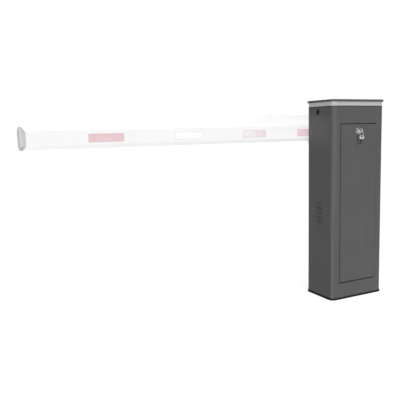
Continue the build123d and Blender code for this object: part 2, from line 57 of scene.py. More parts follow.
class Tree:
    def __init__(self, name):
        self.m = bpy.data.materials.new(name)
        self.m.use_nodes = True
        self.t = self.m.node_tree
        self.t.nodes.clear()
        self.out = self.t.nodes.new("ShaderNodeOutputMaterial")
        self.b = self.t.nodes.new("ShaderNodeBsdfPrincipled")
        self.link(self.b.outputs[0], self.out.inputs[0])
        self.co = self.t.nodes.new("ShaderNodeTexCoord").outputs["Object"]

    def link(self, a, b):
        self.t.links.new(a, b)

    def node(self, kind, **kw):
        n = self.t.nodes.new(kind)
        for k, v in kw.items():
            setattr(n, k, v)
        return n

    def noise(self, scale, detail=3.0, rough=0.55, vec=None, stretch=None, distortion=0.0):
        n = self.node("ShaderNodeTexNoise")
        n.inputs["Scale"].default_value = scale
        n.inputs["Detail"].default_value = detail
        n.inputs["Roughness"].default_value = rough
        n.inputs["Distortion"].default_value = distortion
        v = vec or self.co
        if stretch:
            mp = self.node("ShaderNodeMapping")
            mp.inputs["Scale"].default_value = stretch
            self.link(v, mp.inputs[0])
            v = mp.outputs[0]
        self.link(v, n.inputs["Vector"])
        return n.outputs["Fac"]

    def ramp(self, fac, lo, hi, a=0.0, b=1.0, smooth=True):
        n = self.node("ShaderNodeMapRange")
        n.interpolation_type = "SMOOTHSTEP" if smooth else "LINEAR"
        self.link(fac, n.inputs["Value"])
        n.inputs["From Min"].default_value = lo
        n.inputs["From Max"].default_value = hi
        n.inputs["To Min"].default_value = a
        n.inputs["To Max"].default_value = b
        return n.outputs[0]

    def math(self, op, a, b=None, c=None):
        n = self.node("ShaderNodeMath", operation=op)
        for i, v in enumerate((a, b, c)):
            if v is None:
                continue
            if isinstance(v, (int, float)):
                n.inputs[i].default_value = v
            else:
                self.link(v, n.inputs[i])
        return n.outputs[0]

    def mix(self, fac, a, b):
        n = self.node("ShaderNodeMix", data_type="RGBA")
        if isinstance(fac, (int, float)):
            n.inputs[0].default_value = fac
        else:
            self.link(fac, n.inputs[0])
        for i, v in ((6, a), (7, b)):
            if isinstance(v, tuple):
                n.inputs[i].default_value = v
            else:
                self.link(v, n.inputs[i])
        return n.outputs[2]

    def bump(self, height, distance, strength=1.0, normal=None):
        n = self.node("ShaderNodeBump")
        n.inputs["Strength"].default_value = strength
        n.inputs["Distance"].default_value = distance
        self.link(height, n.inputs["Height"])
        if normal is not None:
            self.link(normal, n.inputs["Normal"])
        return n.outputs[0]

    def soft_edges(self, radius):
        n = self.node("ShaderNodeBevel", samples=4)
        n.inputs["Radius"].default_value = radius
        return n.outputs[0]

    def edge_mask(self, radius):
        # 1 at a sharp edge, 0 on the flats
        n = self.node("ShaderNodeBevel", samples=4)
        n.inputs["Radius"].default_value = radius
        g = self.node("ShaderNodeNewGeometry")
        d = self.node("ShaderNodeVectorMath", operation="DOT_PRODUCT")
        self.link(n.outputs[0], d.inputs[0])
        self.link(g.outputs["Normal"], d.inputs[1])
        return self.ramp(d.outputs["Value"], 0.995, 0.86)

    def xyz(self):
        s = self.node("ShaderNodeSeparateXYZ")
        self.link(self.co, s.inputs[0])
        return s.outputs


def darker(c, k):
    return (c[0] * k, c[1] * k, c[2] * k, 1.0)


def powder(name, base, rough=0.42, grain=0.9, tone=0.05, wear=None, wear_amount=0.5,
           dust=None, dust_top=0.05, soft=0.0008, peel=0.00006, coat=0.0, spec=0.4):
    """Sprayed or powder coated sheet: fine orange peel, cloudy tone, rubbed edges, a little dust at the foot."""
    t = Tree(name)
    cloud = t.noise(5.5, 4.0, 0.6)
    streak = t.noise(3.0, 3.0, 0.5, stretch=(9.0, 9.0, 0.8))
    tone_fac = t.math("ADD", t.math("MULTIPLY", cloud, 0.6), t.math("MULTIPLY", streak, 0.4))
    col = t.mix(t.ramp(tone_fac, 0.32, 0.68), darker(base, 1 - tone), darker(base, 1 + tone))
    if dust is not None:
        h = t.xyz()
        speck = t.noise(26.0, 5.0, 0.65)
        low = t.ramp(h[2], dust_top, 0.008)
        fac = t.math("MULTIPLY", low, t.ramp(speck, 0.42, 0.78, 0.0, 0.16))
        col = t.mix(fac, col, dust)
    if wear is not None:
        e = t.edge_mask(0.0014)
        chip = t.ramp(t.noise(85.0, 5.0, 0.7), 0.52, 0.66)
        fac = t.math("MULTIPLY", t.math("MULTIPLY", e, chip), wear_amount)
        col = t.mix(fac, col, wear)
    t.link(col, t.b.inputs["Base Color"])
    r = t.ramp(t.noise(11.0, 4.0, 0.6), 0.3, 0.7, rough - 0.04, rough + 0.05)
    t.link(r, t.b.inputs["Roughness"])
    peel_h = t.noise(420.0 * grain, 2.0, 0.45)
    n = t.bump(peel_h, peel, 1.0, t.soft_edges(soft))
    wav = t.noise(7.0, 2.0, 0.4)
    n = t.bump(wav, 0.0005, 0.25, n)
    t.link(n, t.b.inputs["Normal"])
    t.b.inputs["Specular IOR Level"].default_value = spec
    if coat:
        t.b.inputs["Coat Weight"].default_value = coat
        t.b.inputs["Coat Roughness"].default_value = 0.12
    return t.m


def metal(name, base, rough=0.32, brushed=None, spangle=False, tarnish=0.12, soft=0.0005, metallic=1.0,
          brush_depth=0.00006):
    """Plated, turned or brushed metal with light tarnish."""
    t = Tree(name)
    cloud = t.noise(30.0, 4.0, 0.6)
    col = t.mix(t.ramp(cloud, 0.35, 0.7), darker(base, 1 - tarnish), base)
    if spangle:
        v = t.node("ShaderNodeTexVoronoi")
        v.inputs["Scale"].default_value = 95.0
        t.link(t.co, v.inputs["Vector"])
        sp = t.node("ShaderNodeSeparateColor")
        t.link(v.outputs["Color"], sp.inputs[0])
        col = t.mix(t.math("MULTIPLY", sp.outputs[0], 0.30), col, darker(base, 0.72))
    t.link(col, t.b.inputs["Base Color"])
    t.b.inputs["Metallic"].default_value = metallic
    if brushed:
        lines = t.noise(60.0, 3.0, 0.7, stretch=brushed)
        r = t.ramp(lines, 0.3, 0.7, rough - 0.08, rough + 0.10)
        h = t.bump(lines, brush_depth, 0.7, t.soft_edges(soft))
    else:
        fine = t.noise(240.0, 3.0, 0.6)
        r = t.ramp(t.noise(40.0, 4.0, 0.6), 0.3, 0.7, rough - 0.06, rough + 0.08)
        h = t.bump(fine, 0.00005, 0.6, t.soft_edges(soft))
    t.link(r, t.b.inputs["Roughness"])
    t.link(h, t.b.inputs["Normal"])
    return t.m


def plastic(name, base, rough=0.5, grain=620.0, depth=0.00004, tone=0.05, dust=None, soft=0.0008, spec=0.5):
    """Moulded plastic or rubber with a fine spark grain and faint scuffs."""
    t = Tree(name)
    cloud = t.noise(14.0, 4.0, 0.6)
    col = t.mix(t.ramp(cloud, 0.32, 0.7), darker(base, 1 - tone), darker(base, 1 + tone))
    scuff = t.ramp(t.noise(46.0, 5.0, 0.75, stretch=(1.0, 1.0, 5.0)), 0.62, 0.78)
    if dust is not None:
        col = t.mix(t.math("MULTIPLY", scuff, 0.3), col, dust)
    t.link(col, t.b.inputs["Base Color"])
    r = t.ramp(t.noise(20.0, 4.0, 0.6), 0.3, 0.7, rough - 0.06, rough + 0.08)
    t.link(r, t.b.inputs["Roughness"])
    h = t.bump(t.noise(grain, 2.0, 0.5), depth, 1.0, t.soft_edges(soft))
    t.link(h, t.b.inputs["Normal"])
    t.b.inputs["Specular IOR Level"].default_value = spec
    return t.m


def reflector(name, base, cell, web, border, centre, size, painted_glare=None):
    """Micro prism film with a printed edge: small cells, each catching the light a little differently; painted_glare is
    a paler colour towards the left end, a painted highlight of the film's glare."""
    t = Tree(name)
    mp = t.node("ShaderNodeMapping")
    mp.inputs["Scale"].default_value = (1.0, 0.001, 1.0)
    t.link(t.co, mp.inputs[0])
    v = t.node("ShaderNodeTexVoronoi", feature="F1")
    v.inputs["Scale"].default_value = 300.0
    v.inputs["Randomness"].default_value = 0.12
    t.link(mp.outputs[0], v.inputs["Vector"])
    e = t.node("ShaderNodeTexVoronoi", feature="DISTANCE_TO_EDGE")
    e.inputs["Scale"].default_value = 300.0
    e.inputs["Randomness"].default_value = 0.12
    t.link(mp.outputs[0], e.inputs["Vector"])
    sp = t.node("ShaderNodeSeparateColor")
    t.link(v.outputs["Color"], sp.inputs[0])
    col = t.mix(t.ramp(t.noise(9.0, 4.0, 0.6), 0.3, 0.7), base, cell)
    h = t.xyz()
    dx = t.math("ABSOLUTE", t.math("SUBTRACT", h[0], centre[0]))
    dz = t.math("ABSOLUTE", t.math("SUBTRACT", h[2], centre[1]))
    if painted_glare is not None:
        col = t.mix(t.ramp(h[0], centre[0] - 0.45 * size[0], centre[0] + 0.5 * size[0], 1.0, 0.0), col, painted_glare)
    col = t.mix(t.math("MULTIPLY", sp.outputs[0], 0.12), col, darker(base, 0.85))
    col = t.mix(t.ramp(e.outputs["Distance"], 0.07, 0.02), col, web)
    edge = t.math("MAXIMUM", t.ramp(dx, size[0] / 2 - 0.0034, size[0] / 2 - 0.0026),
                  t.ramp(dz, size[1] / 2 - 0.0034, size[1] / 2 - 0.0026))
    col = t.mix(edge, col, border)
    t.link(col, t.b.inputs["Base Color"])
    t.link(t.ramp(t.noise(30.0, 3.0, 0.6), 0.3, 0.7, 0.20, 0.34), t.b.inputs["Roughness"])
    hh = t.bump(t.ramp(e.outputs["Distance"], 0.0, 0.12), 0.00010, 0.7, t.soft_edges(0.0004))
    t.link(hh, t.b.inputs["Normal"])
    t.b.inputs["Coat Weight"].default_value = 0.4
    t.b.inputs["Coat Roughness"].default_value = 0.1
    return t.m


def diffuser(name, base):
    """Frosted strip in front of the lamps: faint lamp pitch behind a satin face."""
    t = Tree(name)
    h = t.xyz()
    ax = t.math("ADD", h[0], h[1])
    wave = t.math("SINE", t.math("MULTIPLY", ax, 2 * math.pi / 0.0125))
    cell = t.ramp(wave, -0.9, 0.9)
    cloud = t.ramp(t.noise(18.0, 4.0, 0.6), 0.3, 0.7)
    col = t.mix(t.math("MULTIPLY", cell, 0.08), base, darker(base, 0.72))
    col = t.mix(t.math("MULTIPLY", cloud, 0.08), col, darker(base, 0.85))
    # painted shade: greyer towards the top, where the strip runs up behind the overhanging cap
    col = t.mix(t.ramp(h[2], 0.974, 0.997, 0.0, 1.0, False), col, darker(base, 0.66))
    t.link(col, t.b.inputs["Base Color"])
    t.link(t.ramp(t.noise(60.0, 3.0, 0.6), 0.3, 0.7, 0.30, 0.40), t.b.inputs["Roughness"])
    t.link(t.bump(t.noise(520.0, 2.0, 0.5), 0.00003, 1.0, t.soft_edges(0.001)), t.b.inputs["Normal"])
    t.b.inputs["Coat Weight"].default_value = 0.6
    t.b.inputs["Coat Roughness"].default_value = 0.28
    # painted glow: the strip is given a faint light of its own, with no lamp lit behind it
    t.b.inputs["Emission Color"].default_value = (1, 1, 1, 1)
    t.b.inputs["Emission Strength"].default_value = 0.12
    return t.m


def perforated(name, base):
    """Plated sheet for the punched vent cover, with faint drawn lines; the vents and their black floors, painted shade,
    are built in the cover's mesh.
    """
    t = Tree(name)
    lines = t.noise(60.0, 3.0, 0.7, stretch=(1.0, 1.0, 20.0))
    col = t.mix(t.ramp(t.noise(30.0, 4.0, 0.6), 0.35, 0.7), darker(base, 0.86), base)
    t.link(col, t.b.inputs["Base Color"])
    t.b.inputs["Metallic"].default_value = 1.0
    t.link(t.ramp(lines, 0.3, 0.7, 0.26, 0.44), t.b.inputs["Roughness"])
    t.link(t.bump(lines, 0.00005, 0.7, t.soft_edges(0.0005)), t.b.inputs["Normal"])
    return t.m


# ---------------------------------------------------------------------------
# materials
# ---------------------------------------------------------------------------
def place(node):
    a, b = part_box(node)
    return ((a.x + b.x) / 2, (a.z + b.z) / 2), (b.x - a.x, b.z - a.z)


DUST = rgb(132, 130, 126)
PAPER = rgb(250, 246, 246)
M = {}
M["cabinet"] = powder("cabinet_paint", (0.0815, 0.0813, 0.0817, 1), rough=0.40, wear=rgb(120, 120, 121),
                      wear_amount=0.35, dust=DUST, spec=0.32)
M["boom"] = powder("boom_paint", (0.84, 0.84, 0.84, 1), rough=0.34, tone=0.012, wear=rgb(205, 205, 204),
                   wear_amount=0.3, coat=0.1, spec=0.4)
M["zinc"] = metal("zinc_steel", rgb(190, 191, 194), 0.38, spangle=True)
M["shaft"] = metal("shaft_steel", rgb(178, 178, 180), 0.26, brushed=(1.0, 30.0, 1.0))
M["casting"] = metal("gear_casting", rgb(165, 167, 169), 0.5)
M["chrome"] = metal("lock_chrome", rgb(222, 222, 223), 0.2)
M["key"] = metal("key_steel", rgb(226, 226, 227), 0.30, brushed=(8.0, 8.0, 50.0), metallic=0.6, brush_depth=0.000004)
# darker, rougher copies of the key steel for the spare key: painted shade on its bow and blade
M["key_shaded_bow"] = metal("key_worn_steel", rgb(184, 184, 186), 0.42, brushed=(8.0, 8.0, 50.0), metallic=0.55, brush_depth=0.000004)
M["key_dark"] = metal("key_blade_steel", rgb(44, 44, 46), 0.48, brushed=(8.0, 8.0, 50.0), metallic=0.4, brush_depth=0.000005)
M["brass"] = metal("cam_brass", rgb(188, 166, 116), 0.34, brushed=(50.0, 8.0, 8.0), brush_depth=0.000004)
M["rubber"] = plastic("black_rubber", rgb(20, 20, 21), 0.75, 500.0, 0.00008, dust=rgb(60, 59, 57), spec=0.25)
M["black"] = plastic("black_plastic", rgb(17, 17, 18), 0.55, dust=rgb(52, 52, 52), spec=0.2)
M["motor"] = powder("motor_paint", rgb(38, 40, 43), rough=0.36, wear=rgb(130, 130, 130))
M["sensor"] = plastic("sensor_plastic", rgb(36, 58, 120), 0.42)
M["control"] = plastic("control_plastic", rgb(150, 152, 154), 0.5, dust=rgb(180, 178, 172))
M["psu"] = perforated("perforated_steel", rgb(196, 198, 200))
M["terminal"] = plastic("terminal_plastic", rgb(150, 156, 148), 0.5)
M["breaker"] = plastic("breaker_plastic", rgb(226, 226, 222), 0.4)
M["lens"] = plastic("lens_plastic", rgb(60, 150, 80), 0.22)
M["key_pad"] = plastic("key_pad_rubber", rgb(70, 74, 80), 0.6)
M["cap"] = plastic("cap_plastic", (0.525, 0.525, 0.525, 1), 0.5, dust=rgb(196, 195, 192), spec=0.3)
RED_A, RED_B, RED_W, RED_E = (0.73, 0.505, 0.54, 1), (0.76, 0.555, 0.585, 1), (0.80, 0.64, 0.66, 1), (0.68, 0.45, 0.49, 1)
# reflector 1's film is pinker and paler than the other red films; the extra lightness is painted light lifting the
# shade beside the cabinet
c, s = place("reflector_1")
M["red1"] = reflector("reflector_1_film", (0.77, 0.575, 0.63, 1), (0.80, 0.62, 0.67, 1), (0.84, 0.69, 0.74, 1),
                      (0.80, 0.51, 0.59, 1), c, s)
c, s = place("reflector_4")
M["red4"] = reflector("reflector_4_film", RED_A, RED_B, RED_W, RED_E, c, s)
# reflector 2 whitens towards its left end: painted highlight of the film's glare
c, s = place("reflector_2")
M["red2"] = reflector("reflector_2_film", (0.78, 0.65, 0.675, 1), (0.81, 0.70, 0.72, 1), (0.83, 0.75, 0.765, 1),
                      (0.72, 0.58, 0.61, 1), c, s, painted_glare=(0.86, 0.84, 0.845, 1))
c, s = place("reflector_3")
M["white"] = reflector("reflector_3_film", (0.93, 0.93, 0.93, 1), (0.95, 0.95, 0.95, 1), (0.90, 0.90, 0.90, 1),
                       (0.80, 0.75, 0.755, 1), c, s)
M["band"] = diffuser("light_diffuser", (0.40, 0.40, 0.41, 1))

USE = {
    "base_gasket": "rubber", "base_plate": "zinc", "cabinet_shell": "cabinet", "left_louvres": "cabinet",
    "right_louvres": "cabinet", "door_frame_left": "cabinet", "door_frame_right": "cabinet",
    "door_frame_top": "cabinet", "door_sill": "cabinet", "door_pivot_pins": "zinc", "top_frame": "black",
    "light_band": "band", "top_cap": "cabinet", "crank_plug": "black", "shaft_seal": "rubber",
    "rear_stiffener": "zinc", "output_flange": "casting", "gearbox_housing": "casting",
    "drive_motor": "motor", "crank_stub": "zinc", "spring_drum": "motor", "limit_sensor": "sensor",
    "mounting_panel": "zinc", "control_box": "control", "power_supply": "psu", "terminal_rail": "zinc",
    "terminal_blocks": "terminal", "circuit_breaker": "breaker", "door_panel": "cabinet",
    "door_gasket": "rubber", "lock_housing": "chrome", "lock_plug": "chrome", "key": "key",
    "key_ring": "key", "spare_key": "key", "main_shaft": "shaft", "limit_cam": "brass",
    "carrier_plate": "boom", "support_arm": "boom", "clamp_bolts": "zinc", "boom_tube": "boom",
    "boom_end_cap": "cap", "boom_tail_cap": "cap", "reflector_1": "red1", "reflector_2": "red2",
    "reflector_3": "white", "reflector_4": "red4",
}
for n, o in N.items():
    o.data.materials.clear()
    o.data.materials.append(M[USE[n]])

# ---------------------------------------------------------------------------
# mesh helpers: everything below is given in millimetres in the object's frame
# ---------------------------------------------------------------------------
MM = 0.001


def at(loc, out, up=(0, 0, 1), turn=0.0):
    """Local x to the right, y up, z out of the surface."""
    z = Vector(out).normalized()
    u = Vector(up)
    if abs(z.dot(u)) > 0.95:
        u = Vector((0, 1, 0))
    x = u.cross(z).normalized()
    y = z.cross(x)
    m = Matrix((x, y, z)).transposed().to_4x4()
    m.translation = Vector(loc)
    return m @ Matrix.Rotation(turn, 4, "Z")


def circle(r, z, n=24):
    return [(r * math.cos(2 * math.pi * i / n), r * math.sin(2 * math.pi * i / n), z) for i in range(n)]


def hex_r(a, i, n=24):
    w = (2 * math.pi * i / n) % (math.pi / 3) - math.pi / 6
    return a / math.cos(w)


def hexagon(a, z, n=24):
    return [(hex_r(a, i, n) * math.cos(2 * math.pi * i / n), hex_r(a, i, n) * math.sin(2 * math.pi * i / n), z)
            for i in range(n)]


def rrect(w, h, r, z, k=4):
    r = max(0.05, min(r, w / 2 - 0.01, h / 2 - 0.01))
    pts = []
    for cx, cy, a0 in ((w / 2 - r, h / 2 - r, 0), (-w / 2 + r, h / 2 - r, 90), (-w / 2 + r, -h / 2 + r, 180),
                       (w / 2 - r, -h / 2 + r, 270)):
        for i in range(k + 1):
            a = math.radians(a0 + 90 * i / k)
            pts.append((cx + r * math.cos(a), cy + r * math.sin(a), z))
    return pts


def inset(outline, d):
    n = len(outline)
    res = []
    for i in range(n):
        p, q, s = Vector(outline[i - 1]), Vector(outline[i]), Vector(outline[(i + 1) % n])
        e1, e2 = (q - p).normalized(), (s - q).normalized()
        n1, n2 = Vector((-e1.y, e1.x)), Vector((-e2.y, e2.x))
        b = (n1 + n2)
        b = b / max(0.3, b.length_squared / 2)
        res.append((q.x + b.x * d, q.y + b.y * d))
    return res


class Shape:
    def __init__(self, name, *mats):
        self.name, self.bm, self.mats, self.cur = name, bmesh.new(), list(mats), 0

    def use(self, i):
        self.cur = i
        return self

    def rings(self, rings, F, caps=(True, True), loop=False, floor_mat=None):
        rows = [[self.bm.verts.new((F @ Vector(p)) * MM) for p in r] for r in rings]
        n = len(rows[0])
        nxt = rows[1:] + ([rows[0]] if loop else [])
        for a, b in zip(rows, nxt):
            for i in range(n):
                j = (i + 1) % n
                self.bm.faces.new((a[i], a[j], b[j], b[i])).material_index = self.cur
        if not loop:
            if caps[0]:
                self.bm.faces.new(list(reversed(rows[0]))).material_index = self.cur
            if caps[1]:
                self.bm.faces.new(rows[-1]).material_index = self.cur if floor_mat is None else floor_mat
        return self

    def lathe(self, profile, F, n=28, loop=False):
        return self.rings([circle(r, z, n) for r, z in profile], F, loop=loop)

    def plate(self, F, w, h, t, r=1.0, c=0.4):
        return self.rings([rrect(w, h, r, 0), rrect(w, h, r, t - c), rrect(w - 2 * c, h - 2 * c, r - c, t)], F)

    def prism(self, F, outline, t, c=0.3):
        small = inset(outline, c)
        return self.rings([[(x, y, 0) for x, y in outline], [(x, y, t - c) for x, y in outline],
                           [(x, y, t) for x, y in small]], F)

    def button(self, F, r, h, socket=None):
        s = socket or 0.42 * r
        return self.rings([circle(r, 0), circle(r, 0.22 * h), circle(0.93 * r, 0.6 * h), circle(0.76 * r, 0.9 * h),
                           circle(0.62 * r, h), hexagon(s, h), hexagon(s, 0.3 * h)], F)

    def washer(self, F, r, ri, t):
        self.rings([circle(r, 0), circle(r, t - 0.2), circle(r - 0.3, t), circle(ri, t), circle(ri, 0)], F, loop=True)
        return self

    def hexhead(self, F, a, h, z0=0.0):
        n = 24
        top = []
        for i in range(n):
            r = hex_r(a, i, n)
            th = 2 * math.pi * i / n
            top.append((r * math.cos(th), r * math.sin(th), z0 + h - (r - 0.94 * a) * 0.55))
        return self.rings([hexagon(a, z0), top, circle(0.92 * a, z0 + h)], F)

    def bolt(self, F, a, h, washer=True):
        z0 = 0.0
        if washer:
            self.washer(F, a * 1.42, a * 0.5, 1.6)
            z0 = 1.6
        return self.hexhead(F, a, h, z0)

    def thread(self, F, r, z0, z1, pitch=1.75, n=20):
        prof, z = [(r - 0.6, z0)], z0
        while z + pitch < z1 - 0.8:
            prof += [(r - 0.6, z + 0.15 * pitch), (r, z + 0.45 * pitch), (r, z + 0.6 * pitch),
                     (r - 0.6, z + 0.95 * pitch)]
            z += pitch
        prof += [(r - 0.5, z1 - 0.7), (r - 1.3, z1)]
        return self.lathe(prof, F, n)

    def tube(self, pts, r, m=10):
        pts = [Vector(p) for p in pts]
        rows, prev = [], None
        for i, p in enumerate(pts):
            d = (pts[min(i + 1, len(pts) - 1)] - pts[max(i - 1, 0)]).normalized()
            if prev is None:
                u = d.orthogonal().normalized()
            else:
                u = (prev - d * prev.dot(d)).normalized()
            prev = u
            v = d.cross(u)
            rows.append([tuple(p + (u * math.cos(2 * math.pi * k / m) + v * math.sin(2 * math.pi * k / m)) * r)
                         for k in range(m)])
        return self.rings(rows, Matrix.Identity(4))

    def done(self, body, slot, *replaced):
        bm = self.bm
        bmesh.ops.recalc_face_normals(bm, faces=bm.faces)
        for f in bm.faces:
            f.smooth = True
        for e in bm.edges:
            if len(e.link_faces) == 2 and e.calc_face_angle(0.0) > 0.56:
                e.smooth = False
        me = bpy.data.meshes.new(self.name)
        bm.to_mesh(me)
        bm.free()
        for m in self.mats:
            me.materials.append(M[m])
        o = bpy.data.objects.new(self.name, me)
        scene.collection.objects.link(o)
        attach(o, body)
        if replaced:
            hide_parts(*replaced)
        return o


def spot(node):
    a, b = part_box(node)
    return a / MM, b / MM


FRONT, BACK, LEFT, RIGHT, UP, DOWN = (0, -1, 0), (0, 1, 0), (-1, 0, 0), (1, 0, 0), (0, 0, 1), (0, 0, -1)
sh0, sh1 = spot("cabinet_shell")
CW, CD = sh1.x - sh0.x, sh1.y - sh0.y
WALL = 2.5

# rubber profile between the sheet and the light band, bulging slightly; its black is a seal and also paints the shade
# of the gap under the band
bl0, bl1 = spot("light_band")
s = Shape("light_band_seal", "rubber")
s.rings([rrect(CW + 2 * o, CD + 2 * o, 24 + o, z, 8) for o, z in
         ((-2.4, sh1.z + 0.05), (-0.1, sh1.z + 0.05), (0.35, sh1.z + 0.8), (0.35, bl0.z - 0.8), (-0.1, bl0.z - 0.05),
          (-2.4, bl0.z - 0.05))], Matrix.Identity(4), loop=True)
s.done("cabinet", "black_rubber")

# folded lips of the jambs and the head; the right one nearly closes the gap beside the door
jr0, jr1 = spot("door_frame_right")
dp0, dp1 = spot("door_panel")
lx0, lx1 = dp1.x + 0.8, dp1.x + 4.9
s = Shape("door_edge_lip", "cabinet")
s.plate(at(((lx0 + lx1) / 2, sh0.y + 3.2, (dp0.z + dp1.z) / 2), FRONT), lx1 - lx0, dp1.z - dp0.z + 6, 2.9, 0.8, 0.6)
s.plate(at((dp0.x - 4.1, sh0.y + 3.2, (dp0.z + dp1.z) / 2), FRONT), 1.7, dp1.z - dp0.z + 6, 2.9, 0.4, 0.3)
s.plate(at((0, sh0.y + 3.2, dp1.z + 4.1), FRONT), dp1.x - dp0.x + 3, 1.7, 2.9, 0.4, 0.3)
s.done("cabinet", "cabinet_paint")

# pressed vent hoods: eyebrows that swell out of the sheet and end in a thin lip
for name, side in (("left_louvres", -1), ("right_louvres", 1)):
    v0, v1 = spot(name)
    x0 = side * CW / 2
    yc, half = (v0.y + v1.y) / 2, (v1.y - v0.y) / 2 + 1.0
    pitch = (v1.z - v0.z - 14.0) / 4
    zmid = (v0.z + v1.z) / 2
    s = Shape(name + "_pressed", "cabinet")
    for k in range(5):
        zt = zmid + (k - 2) * pitch + 7.0
        cols = []
        nu, nv = 22, 8
        for i in range(nu + 1):
            u = -1 + 2 * i / nu
            swell = max(0.0, 1 - abs(u) ** 3.2) ** 0.5
            outer, inner = [], []
            for j in range(nv + 1):
                v = j / nv
                out = 4.8 * swell * math.sin(v * math.pi / 2) ** 0.9
                z = zt - 10.2 * v * (0.45 + 0.55 * swell)
                outer.append((x0 + side * (out + 0.02), yc + half * u, z))
                inner.append((x0 + side * (out - 1.3), yc + half * u, z + 0.25))
            cols.append(outer + inner[::-1])
        s.rings(cols, Matrix.Identity(4))
    s.done("cabinet", "cabinet_paint", name)

# crank hole cover: the pin it swings on and a thumb ridge
cp0, cp1 = spot("crank_plug")
s = Shape("crank_cover_pin", "black")
s.button(at((cp0.x, (cp0.y + cp1.y) / 2, cp1.z - 4.5), LEFT), 2.7, 0.9, 1.1)
s.rings([rrect(9, 2.2, 1.0, 0), rrect(8.6, 1.8, 0.8, 0.5), rrect(7.8, 1.0, 0.4, 0.8)],
        at((cp0.x, (cp0.y + cp1.y) / 2, cp0.z + 7.5), LEFT))
s.done("cabinet", "black_plastic")

# shaft seal: a raised lip and its four screws
ss0, ss1 = spot("shaft_seal")
AZ = (ss0.z + ss1.z) / 2
s = Shape("shaft_seal_lip", "rubber", "zinc")
s.washer(at((0, ss1.y, AZ), BACK), 28, 21, 1.4)
s.washer(at((0, ss1.y, AZ), BACK), 36, 34.5, 0.7)
s.use(1)
for a in (45, 135, 225, 315):
    s.button(at((31.5 * math.cos(math.radians(a)), ss1.y, AZ + 31.5 * math.sin(math.radians(a))), BACK), 2.6, 1.4)
s.done("cabinet", "black_rubber")

# cap: two fixing screws in its skirt at the back
tc0, tc1 = spot("top_cap")
s = Shape("cap_fixing_screws", "zinc")
for x in (-110, 110):
    s.washer(at((x, tc1.y, tc0.z + 5), BACK), 4.4, 1.2, 0.6)
    s.button(at((x, tc1.y + 0.5, tc0.z + 5), BACK), 3.0, 1.5)
s.done("cabinet", "zinc_steel")

# foot: earth stud with lock nuts, and the four wide washers of the anchor holes
bp0, bp1 = spot("base_plate")
s = Shape("earth_stud", "zinc", "brass")
F = at((-138, -58, bp1.z), UP)
s.washer(F, 10, 4.1, 1.6)
s.hexhead(F, 6.5, 5, 1.6)
s.use(1).washer(at((-138, -58, bp1.z + 6.6), UP), 8, 4.1, 1.2)
s.hexhead(F, 6.5, 5, 7.8)
s.use(0).thread(F, 4, 12.8, 26, 1.25)
s.done("cabinet", "zinc_steel")
s = Shape("anchor_hole_rings", "zinc")
for x in (-115, 115):
    for y in (-65, 65):
        s.washer(at((x, y, bp1.z), UP), 17, 7.2, 2.2)
s.done("cabinet", "zinc_steel")

# stiffener: bolts with washers
rs0, rs1 = spot("rear_stiffener")
s = Shape("stiffener_bolts", "zinc")
for x in (-108, 108):
    for z in (rs0.z + 17, (rs0.z + rs1.z) / 2, rs1.z - 17):
        s.bolt(at((x, rs0.y, z), FRONT, turn=0.3 * (x + z)), 6.5, 5)
s.done("cabinet", "zinc_steel")

# gearbox: cover screws, cooling ribs, filler plug and sight glass
gb0, gb1 = spot("gearbox_housing")
s = Shape("gearbox_details", "casting", "zinc", "lens")
for k in range(8):
    a = math.radians(22.5 + 45 * k)
    if k != 1:
        s.use(1).button(at((66.5 * math.cos(a), gb0.y, AZ + 66.5 * math.sin(a)), FRONT), 4.6, 4.2)
s.use(0)
s.washer(at((0, gb0.y, AZ), FRONT), 73, 61.5, 1.4)
for i in range(7):
    s.plate(at((-66 + 9.2 * i, gb0.y, gb1.z - 26), FRONT), 2.6, 40, 5.0, 1.0, 0.9)
for i in range(6):
    s.plate(at((gb0.x, gb0.y + 11 + 9.2 * i, AZ + 8), LEFT), 2.6, 96, 4.0, 1.0, 0.9)
    s.plate(at((gb1.x, gb0.y + 11 + 9.2 * i, AZ - 8), RIGHT), 2.6, 76, 4.0, 1.0, 0.9)
s.use(1).bolt(at((-44, 12, gb1.z), UP), 8, 6)
s.bolt(at((36, 12, gb1.z), UP), 6, 5)
F = at((-2, gb0.y, gb1.z - 22), FRONT)
s.washer(F, 9, 5.5, 3.4)
s.use(2).lathe([(5.6, 0), (5.6, 1.8), (4.4, 2.5), (1.5, 2.8)], F)
s.done("cabinet", "gear_casting")

# crank stub: collar and the flange screws on the gearbox side
cs0, cs1 = spot("crank_stub")
WY, WZ = (cs0.y + cs1.y) / 2, (cs0.z + cs1.z) / 2
s = Shape("crank_stub_details", "zinc")
s.lathe([(10.5, 0), (10.5, 6.4), (9.6, 7), (7.4, 7.4)], at((-86, WY, WZ), LEFT))
for a in (45, 135, 225, 315):
    s.button(at((-86, WY + 13.2 * math.cos(math.radians(a)), WZ + 13.2 * math.sin(math.radians(a))), LEFT), 2.4, 2.0)
s.done("cabinet", "zinc_steel")

# motor: cooling fins, flange bolts, terminal box with gland
s = Shape("motor_fins", "motor")
for k in range(30):
    a = 2 * math.pi * (k + 0.5) / 30
    d = (0, math.cos(a), math.sin(a))
    s.plate(at((113, WY + 36.2 * d[1], WZ + 36.2 * d[2]), d, up=(1, 0, 0)), 1.7, 56, 4.0, 0.7, 0.6)
s.lathe([(38.6, 0), (38.6, 3.2), (37.8, 4)], at((83, WY, WZ), RIGHT))
s.done("cabinet", "motor_paint")
